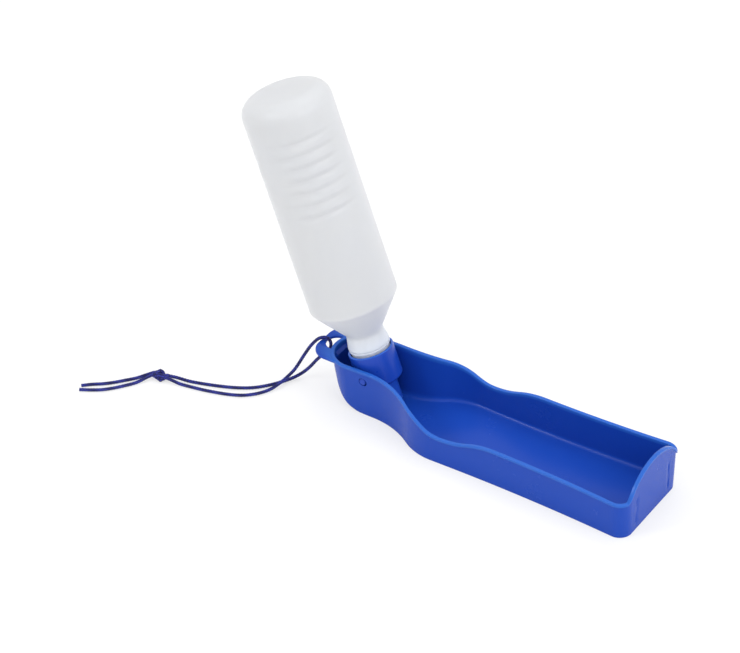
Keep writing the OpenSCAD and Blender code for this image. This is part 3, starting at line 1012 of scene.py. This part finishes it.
def pinHoles():
    tools = []
    pivot = Vector((tray["pivotPlace"], 0, tray["keelRadius"]))
    for side in (-1, 1):
        turn = Matrix.Rotation(radians(90 * side), 4, "X")
        outside = side * headHalf(tray["keelRadius"])
        radius, depth, (along, up) = pick(tray, "pinHoleRadius", "pinHoleDepth", "pinHoleShift")
        line = [(nearAxis, -depth), (radius, -depth), (radius, depth), (nearAxis, depth)]
        tool = lathe("pinHole", line, sides=96)
        place = pivot + Vector((along, outside, up))
        tool.transform(Matrix.Translation(place * mm) @ turn)
        tools.append(tidyMesh(tool))
    return tools


def lipHighlight(spot):
    # A painted highlight on the rolled lip, but neither on the tab beyond it nor on the walls
    half = headHalf(tray["headRim"])
    centre = half - headReach(tray["headRim"])
    fromHead = hypot(min(0, spot.x - centre), spot.y)
    if spot.x < centre and fromHead > half + tray["lipWidth"] + tray["highlightGap"]:
        return 0
    drop = rimHeight(spot.x, spot.y) - spot.z
    return (tray["lipHeight"] + tray["highlightBelow"] - drop) / tray["highlightFade"]


def makeTray():
    mesh = combined(trayShell(), tabPlate(), "UNION")
    for tool in pinHoles():
        mesh = combined(mesh, tool, "DIFFERENCE")
    mesh = withPaintedLight(tidyMesh(mesh), lipHighlight)
    finishPiece("waterTray", mesh, "trayPlastic", "tray", "tray_plastic", "tray")


makeTray()
print("tray made")


# The bottle: a blown body with a rounded base and grip grooves, and a threaded neck with two beads

bottle = {
    "radius": 31,
    "reach": 212,
    "wall": 1.2,
    "baseRound": 11,
    "baseDome": 0.15,
    "shoulderReach": 55,
    "shoulderRound": 5,
    "neckRound": 4.8,
    "neckRadius": 12.8,
    "waistReach": 30.6,
    "gripCount": 7,
    "gripFromBase": 26,
    "gripPitch": 9,
    "gripDepth": 0.8,
    "gripHalfWidth": 2.0,
    "gripSpan": 60,
    "gripTurn": -43,
    "neckFoot": 2.6,
    "neckCore": 12.9,
    "finishRadius": 13.5,
    "finishFoot": 12.6,
    "beadRadius": 14.5,
    "beadFoot": 18,
    "beadHeights": (1.2, 0.5, 1.7),
    "beadGroove": 0.6,
    "grooveLean": 0.1,
    "beadEdge": 0.3,
    "beadTopRound": 0.8,
    "finishEdge": 0.2,
    "finishRound": 0.25,
    "mouthRound": 1,
    "rowStep": 0.4,
    "innerRowStep": 1,
    "sides": 160,
}

thread = {
    "turns": 1.5,
    "pitch": 3.2,
    "rootHalf": 0.64,
    "crestHalf": 0.36,
    "sink": 0.3,
    "height": 1,
    "neckStart": 5.2,
    "fadeShare": 0.08,
    "endShare": 0.1,
    "steps": 90,
}


def makeGrooveTree():
    tree, given, result = newShaper("gripGrooves", ["Count"], [
        "First", "Pitch", "Depth", "Half Width", "Span", "Turn"])
    x, y, z = partsOf(output(tree, "GeometryNodeInputPosition"))
    # The grooves fade out round the bottle, on both of its sides
    turn = minus(calc("ARCTAN2", y, x), given["Turn"])
    facing, edge = (calc("COSINE", times(angle, 2.0)) for angle in (turn, given["Span"]))
    fade = mapRange(facing, (edge, 1.0))
    fromFirst = over(minus(given["First"], z), given["Pitch"])
    nearest = calc("MINIMUM", calc("MAXIMUM", calc("ROUND", fromFirst), 0.0), minus(given["Count"], 1.0))
    away = over(times(minus(fromFirst, nearest), given["Pitch"]), given["Half Width"])
    profile = calc("EXPONENT", times(away, away, -1.0))
    depth = times(profile, fade, given["Depth"])
    outwards = vectorCalc("NORMALIZE", output(tree, "ShaderNodeCombineXYZ", {0: x, 1: y}))
    offset = vectorCalc("SCALE", outwards, times(depth, -1.0))
    return closeShaper(tree, given, result, output(tree, "GeometryNodeSetPosition", {
        "Geometry": given["Start Shape"], "Offset": offset}))


def makeThreadTree():
    tree, given, result = newShaper("screwThread", ["Steps"], [
        "Root Radius", "Height", "Root Half", "Crest Half", "Start", "Pitch", "Turns"])
    # A four-sided bar that is wound round the axis and fades out at both ends
    bar = output(tree, "GeometryNodeMeshCylinder", {
        "Vertices": 4, "Radius": 1, "Depth": 1, "Side Segments": given["Steps"]}, fill_type="NGON")
    x, y, z = partsOf(output(tree, "GeometryNodeInputPosition"))
    crest = calc("GREATER_THAN", plus(x, y), 0.0)
    side = minus(times(calc("GREATER_THAN", minus(y, x), 0.0), 2.0), 1.0)
    share = plus(z, 0.5)
    fade, end = pick(thread, "fadeShare", "endShare")
    fadeIn = mapRange(share, (0.0, fade), (end, 1.0))
    fadeOut = mapRange(share, (1 - fade, 1.0), (1.0, end))
    height = times(fadeIn, fadeOut, given["Height"])
    radius = plus(given["Root Radius"], times(crest, height))
    half = plus(given["Root Half"], times(crest, minus(given["Crest Half"], given["Root Half"])))
    turns = times(share, given["Turns"])
    angle = times(turns, 2 * pi)
    rise = plus(given["Start"], times(turns, given["Pitch"]), times(side, half))
    x, y = (times(radius, calc(wave, angle)) for wave in ("COSINE", "SINE"))
    spot = output(tree, "ShaderNodeCombineXYZ", {0: x, 1: y, 2: rise})
    moved = output(tree, "GeometryNodeSetPosition", {"Geometry": bar, "Position": spot})
    whole = output(tree, "GeometryNodeJoinGeometry", {0: [moved, given["Start Shape"]]})
    return closeShaper(tree, given, result, whole)


threadTree = makeThreadTree()


def withThread(mesh, rootRadius, height, start, material):
    return throughTree(mesh, threadTree, material, {
        "Root Radius": rootRadius, "Height": height, "Root Half": thread["rootHalf"],
        "Crest Half": thread["crestHalf"], "Start": start, "Pitch": thread["pitch"]},
        Turns=thread["turns"], Steps=thread["steps"])


def capPaintedLight(spot):
    # Painted blue light and shade from the cap, stronger and stronger in the bottle's plastic towards it
    away = (spot.z - bottle["beadFoot"]) / (bottle["shoulderReach"] - bottle["beadFoot"])
    return max(0, 1 - away) ** 2


def bottleLine():
    # The bottle's section from its mouth up the outside, over the base and back down the inside
    core, bead, foot, edge = pick(bottle, "neckCore", "beadRadius", "beadFoot", "beadEdge")
    finish, finishFoot, finishRound = pick(bottle, "finishRadius", "finishFoot", "finishRound")
    low, gap, high = bottle["beadHeights"]
    groove, ease = bead - bottle["beadGroove"], bottle["grooveLean"]
    end = foot + low + gap + high
    r, top, t, neck, corner = pick(bottle, "radius", "reach", "wall", "neckRadius", "baseRound")
    bore, waist = core - t, bottle["waistReach"]
    bend, edgeRound = pick(bottle, "neckRound", "shoulderRound")
    shoulder, dome = pick(bottle, "shoulderReach", "baseDome")
    first = top - bottle["gripFromBase"]
    gripLow, gripHigh = first - bottle["gripCount"] * bottle["gripPitch"], first + bottle["gripPitch"]

    def domeLine(height, radius, steps=8):
        return [Vector((radius * (1 - k / steps), height - dome * sin(pi / 2 * k / steps) ** 2))
                for k in range(1, steps)]

    halfway = mix(bead, neck, 0.5), mix(end, waist, 0.5), 0
    mouth = roundedLine([
        (bore + edge, bottle["neckFoot"], 0), (core, bottle["neckFoot"], edge),
        (core, finishFoot, finishRound), (finish, finishFoot, bottle["finishEdge"]),
        (finish, foot, finishRound), (bead, foot, edge), (bead, foot + low, edge),
        (groove, foot + low + ease, 0), (groove, end - high - ease, 0), (bead, end - high, edge),
        (bead, end, bottle["beadTopRound"]), halfway])
    outer = roundedLine([halfway, (neck, waist, bend), (r, shoulder, edgeRound), (r, top, corner),
                         (r - corner, top, 0)], steps=12)
    inner = roundedLine([(r - t - corner, top - t, 0), (r - t, top - t, corner - t),
                         (r - t, shoulder + t / 2, edgeRound), (neck - t, waist + t / 2, bend),
                         (bore, end, bottle["mouthRound"]), (bore, bottle["neckFoot"] + edge, 0)], steps=8)
    outer = mouth + withRows(outer, gripLow, gripHigh, bottle["rowStep"])[1:] + domeLine(top, r - corner)
    inner = domeLine(top - t, r - t - corner)[::-1] + withRows(inner, gripLow, gripHigh,
                                                               bottle["innerRowStep"])
    return outer + [Vector((nearAxis, top - dome)), Vector((nearAxis, top - t - dome))] + inner


def makeBottle():
    # One moulding, which stands for two solids of the part
    shell = tidyMesh(lathe("squeezeBottle", bottleLine(), bottle["sides"]), sharpAngle=40)
    mesh = throughTree(shell, makeGrooveTree(), "bottlePlastic", {
        "First": bottle["reach"] - bottle["gripFromBase"], "Pitch": bottle["gripPitch"],
        "Depth": bottle["gripDepth"], "Half Width": bottle["gripHalfWidth"]},
        Count=bottle["gripCount"], Span=radians(bottle["gripSpan"]),
        Turn=radians(bottle["gripTurn"]))
    mesh = withThread(mesh, bottle["neckCore"] - thread["sink"], thread["height"] + thread["sink"],
                      thread["neckStart"], "bottlePlastic")
    mesh = withPaintedLight(tidyMesh(mesh, sharpAngle=45), capPaintedLight)
    mesh.transform(onBottleAxis)
    finishPiece("squeezeBottle", mesh, "bottlePlastic", "bottle", "bottle_plastic",
                "bottle_body", "bottle_neck")


makeBottle()
print("bottle made")


# The screw cap with its pins and spout, the seal in the spout and the washer under the neck

cap = {
    "radius": 16,
    "bore": 14.4,
    "top": 16.2,
    "drop": 8,
    "chamfer": 1.6,
    "edge": 0.5,
    "boreRound": 0.3,
    "collarFootRound": 0.8,
    "rimHeight": 1,
    "seat": 1,
    "spoutRadius": 10.4,
    "spoutFootRound": 0.6,
    "spoutRow": 20,
    "spoutBend": 22,
    "spoutReach": 27.5,
    "spoutBall": 28.1,
    "spoutEdge": 0.4,
    # The share of painted light on the spout
    "spoutPaintedLight": 0.2,
    "channelRadius": 4.5,
    "sealRadius": 7.1,
    "sealThickness": 1.6,
    "sealProud": 0.1,
    "sealFit": 0.05,
    "sealTipRound": 0.2,
    "sealBackRound": 0.1,
    "recessRound": 0.15,
    "pinRadius": 2.5,
    "pinEnd": 18.8,
    "pinStart": 15,
    "pinEdge": 0.3,
    "washerHole": 6.5,
    "washerRadius": 14.3,
    "washerThickness": 1.6,
    "washerEdge": 0.25,
}


def spoutEnd(proud):
    # The spout's end follows the head's curved wall, about the pins' axis
    start, reach = -cap["spoutBend"], cap["spoutReach"]

    def reshape(spot):
        if spot.z >= start:
            return spot
        drum = sqrt((reach + proud) ** 2 - spot.x ** 2)
        ball = sqrt((cap["spoutBall"] + proud) ** 2 - spot.x ** 2 - spot.y ** 2)
        spot.z = mix(start, -min(drum, ball), (spot.z - start) / (-reach - start))
        return spot

    return reshape


def collarPaintedLight(spot):
    # A painted highlight on the collar's thin rim, and a little painted light on the spout
    if spot.z < -cap["drop"]:
        return cap["spoutPaintedLight"]
    return 1 - (cap["top"] - spot.z) / cap["rimHeight"]


def makeCap():
    channel, recess = cap["channelRadius"], cap["sealRadius"] + cap["sealFit"]
    radius, bore, top, spout, boreRound = pick(cap, "radius", "bore", "top", "spoutRadius", "boreRound")
    reach, drop, chamfer, edge = pick(cap, "spoutReach", "drop", "chamfer", "edge")
    step, rim = reach - cap["sealThickness"], top - cap["rimHeight"]
    line = roundedLine([
        (channel, cap["seat"], boreRound), (bore, cap["seat"], boreRound), (bore, rim, 0),
        (bore, top, boreRound), (radius, top, edge), (radius, rim, 0),
        (radius, chamfer - drop, cap["collarFootRound"]), (radius - chamfer, -drop, edge),
        (spout, -drop, cap["spoutFootRound"]), (spout, -cap["spoutRow"], 0),
        (spout, -reach, cap["spoutEdge"]), (recess, -reach, cap["recessRound"]), (recess, -step, 0),
        (channel, -step, 0)], closed=True)
    mesh = tidyMesh(lathe("pivotCap", line, reshape=spoutEnd(0)))
    start, radius, end = pick(cap, "pinStart", "pinRadius", "pinEnd")
    pinLine = roundedLine([(nearAxis, start, 0), (radius, start, 0), (radius, end, cap["pinEdge"]),
                           (nearAxis, end, 0)])
    for side in (-1, 1):
        pin = lathe("pin", pinLine, sides=64)
        pin.transform(Matrix.Rotation(radians(-90 * side), 4, "X"))
        mesh = combined(mesh, tidyMesh(pin), "UNION")
    mesh = withThread(mesh, cap["bore"] + thread["sink"], -thread["height"] - thread["sink"],
                      thread["neckStart"] + thread["pitch"] / 2, "capPlastic")
    mesh = withPaintedLight(tidyMesh(mesh), collarPaintedLight)
    mesh.transform(onBottleAxis)
    finishPiece("pivotCap", mesh, "capPlastic", "cap", "cap_plastic", "pivot_cap")


def ringMesh(name, inner, outer, low, high, lowRound, highRound, **form):
    line = roundedLine([(inner, low, lowRound), (inner, high, highRound), (outer, high, highRound),
                        (outer, low, lowRound)], closed=True)
    mesh = lathe(name, line, **form)
    mesh.transform(onBottleAxis)
    return tidyMesh(mesh)


def makeSeal():
    tip = -cap["spoutReach"]
    mesh = ringMesh("spoutSeal", cap["channelRadius"], cap["sealRadius"], tip, tip + cap["sealThickness"],
                    cap["sealTipRound"], cap["sealBackRound"], sides=96, reshape=spoutEnd(cap["sealProud"]))
    finishPiece("spoutSeal", mesh, "sealRubber", "cap", "seal_rubber", "spout_seal")


def makeWasher():
    low, edge = pick(cap, "seat", "washerEdge")
    mesh = ringMesh("neckWasher", cap["washerHole"], cap["washerRadius"], low, low + cap["washerThickness"],
                    edge, edge)
    finishPiece("neckWasher", mesh, "washerFoam", "washer", "washer_foam", "neck_washer")


makeCap()
makeSeal()
makeWasher()
print("cap made")


# The studio: a pale floor that fades to white, soft lamps and a white surround

studio = {
    "floorHalf": 6,
    "floorColour": (0.9, 0.9, 0.9, 1),
    "floorSeen": (0.36, 0.36, 0.36, 1),
    "floorGlow": 0.6,
    "ambientLow": 0.55,
    "ambientHigh": 1.2,
    "lampAim": (0, 0, 0.05),
    "lamps": {
        "keyLamp": {"place": (2.2, -0.4, 1.5), "size": 2.0, "power": 27},
        "fillLamp": {"place": (-1.1, -1.5, 1.66), "size": 0.5, "power": 12},
        "topLamp": {"place": (-0.2, 0.9, 2.4), "size": 1.4, "power": 6},
    },
}


def makeFloor():
    half = studio["floorHalf"]
    mesh = bpy.data.meshes.new("studioFloor")
    corners = [(-half, -half, 0), (half, -half, 0), (half, half, 0), (-half, half, 0)]
    mesh.from_pydata(corners, [], [(0, 1, 2, 3)])
    material = bpy.data.materials.new("studioFloor")
    material.use_nodes = True
    tree = material.node_tree
    tree.nodes.clear()
    # The camera sees a floor that glows, and the object is lit by a plain pale one
    surface, seen = (output(tree, "ShaderNodeBsdfDiffuse", {"Color": studio[key]})
                     for key in ("floorColour", "floorSeen"))
    glow = output(tree, "ShaderNodeEmission", {"Strength": studio["floorGlow"]})
    both = output(tree, "ShaderNodeAddShader", {0: seen, 1: glow})
    fromCamera = addNode(tree, "ShaderNodeLightPath").outputs["Is Camera Ray"]
    choice = output(tree, "ShaderNodeMixShader", {0: fromCamera, 1: surface, 2: both})
    addNode(tree, "ShaderNodeOutputMaterial", {"Surface": choice})
    mesh.materials.append(material)
    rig.stage(addObject("studioFloor", mesh))


def makeLamps():
    for name, lamp in studio["lamps"].items():
        light = bpy.data.lights.new(name, "AREA")
        light.shape = "DISK"
        light.size = lamp["size"]
        light.energy = lamp["power"]
        away = Vector(lamp["place"]) - Vector(studio["lampAim"])
        turn = away.to_track_quat("Z", "Y").to_matrix().to_4x4()
        addObject(name, light).matrix_world = Matrix.Translation(lamp["place"]) @ turn


def makeSurround():
    # Plain white for the camera, gloss and glass, and a soft light from above for the rest
    world = bpy.data.worlds.new("surround")
    world.use_nodes = True
    tree = world.node_tree
    rays = addNode(tree, "ShaderNodeLightPath").outputs
    share = calc("MAXIMUM", rays["Is Camera Ray"], rays["Is Transmission Ray"], rays["Is Glossy Ray"])
    up = partsOf(addNode(tree, "ShaderNodeTexCoord").outputs["Generated"])[2]
    ambient = mapRange(up, (0.0, 1.0), (studio["ambientLow"], studio["ambientHigh"]))
    plain = times(ambient, minus(1.0, share))
    ground = tree.nodes["Background"].inputs
    feed(ground["Color"], (1, 1, 1, 1))
    feed(ground["Strength"], plus(plain, share))
    bpy.context.scene.world = world


makeFloor()
makeLamps()
makeSurround()
bpy.context.scene.view_settings.view_transform = "Standard"
print("studio set")

with open("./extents.json", "w") as sizes:
    json.dump({"cad": [list(corner) for corner in cadBox],
               "visual": [list(corner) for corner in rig.bounds()]}, sizes)
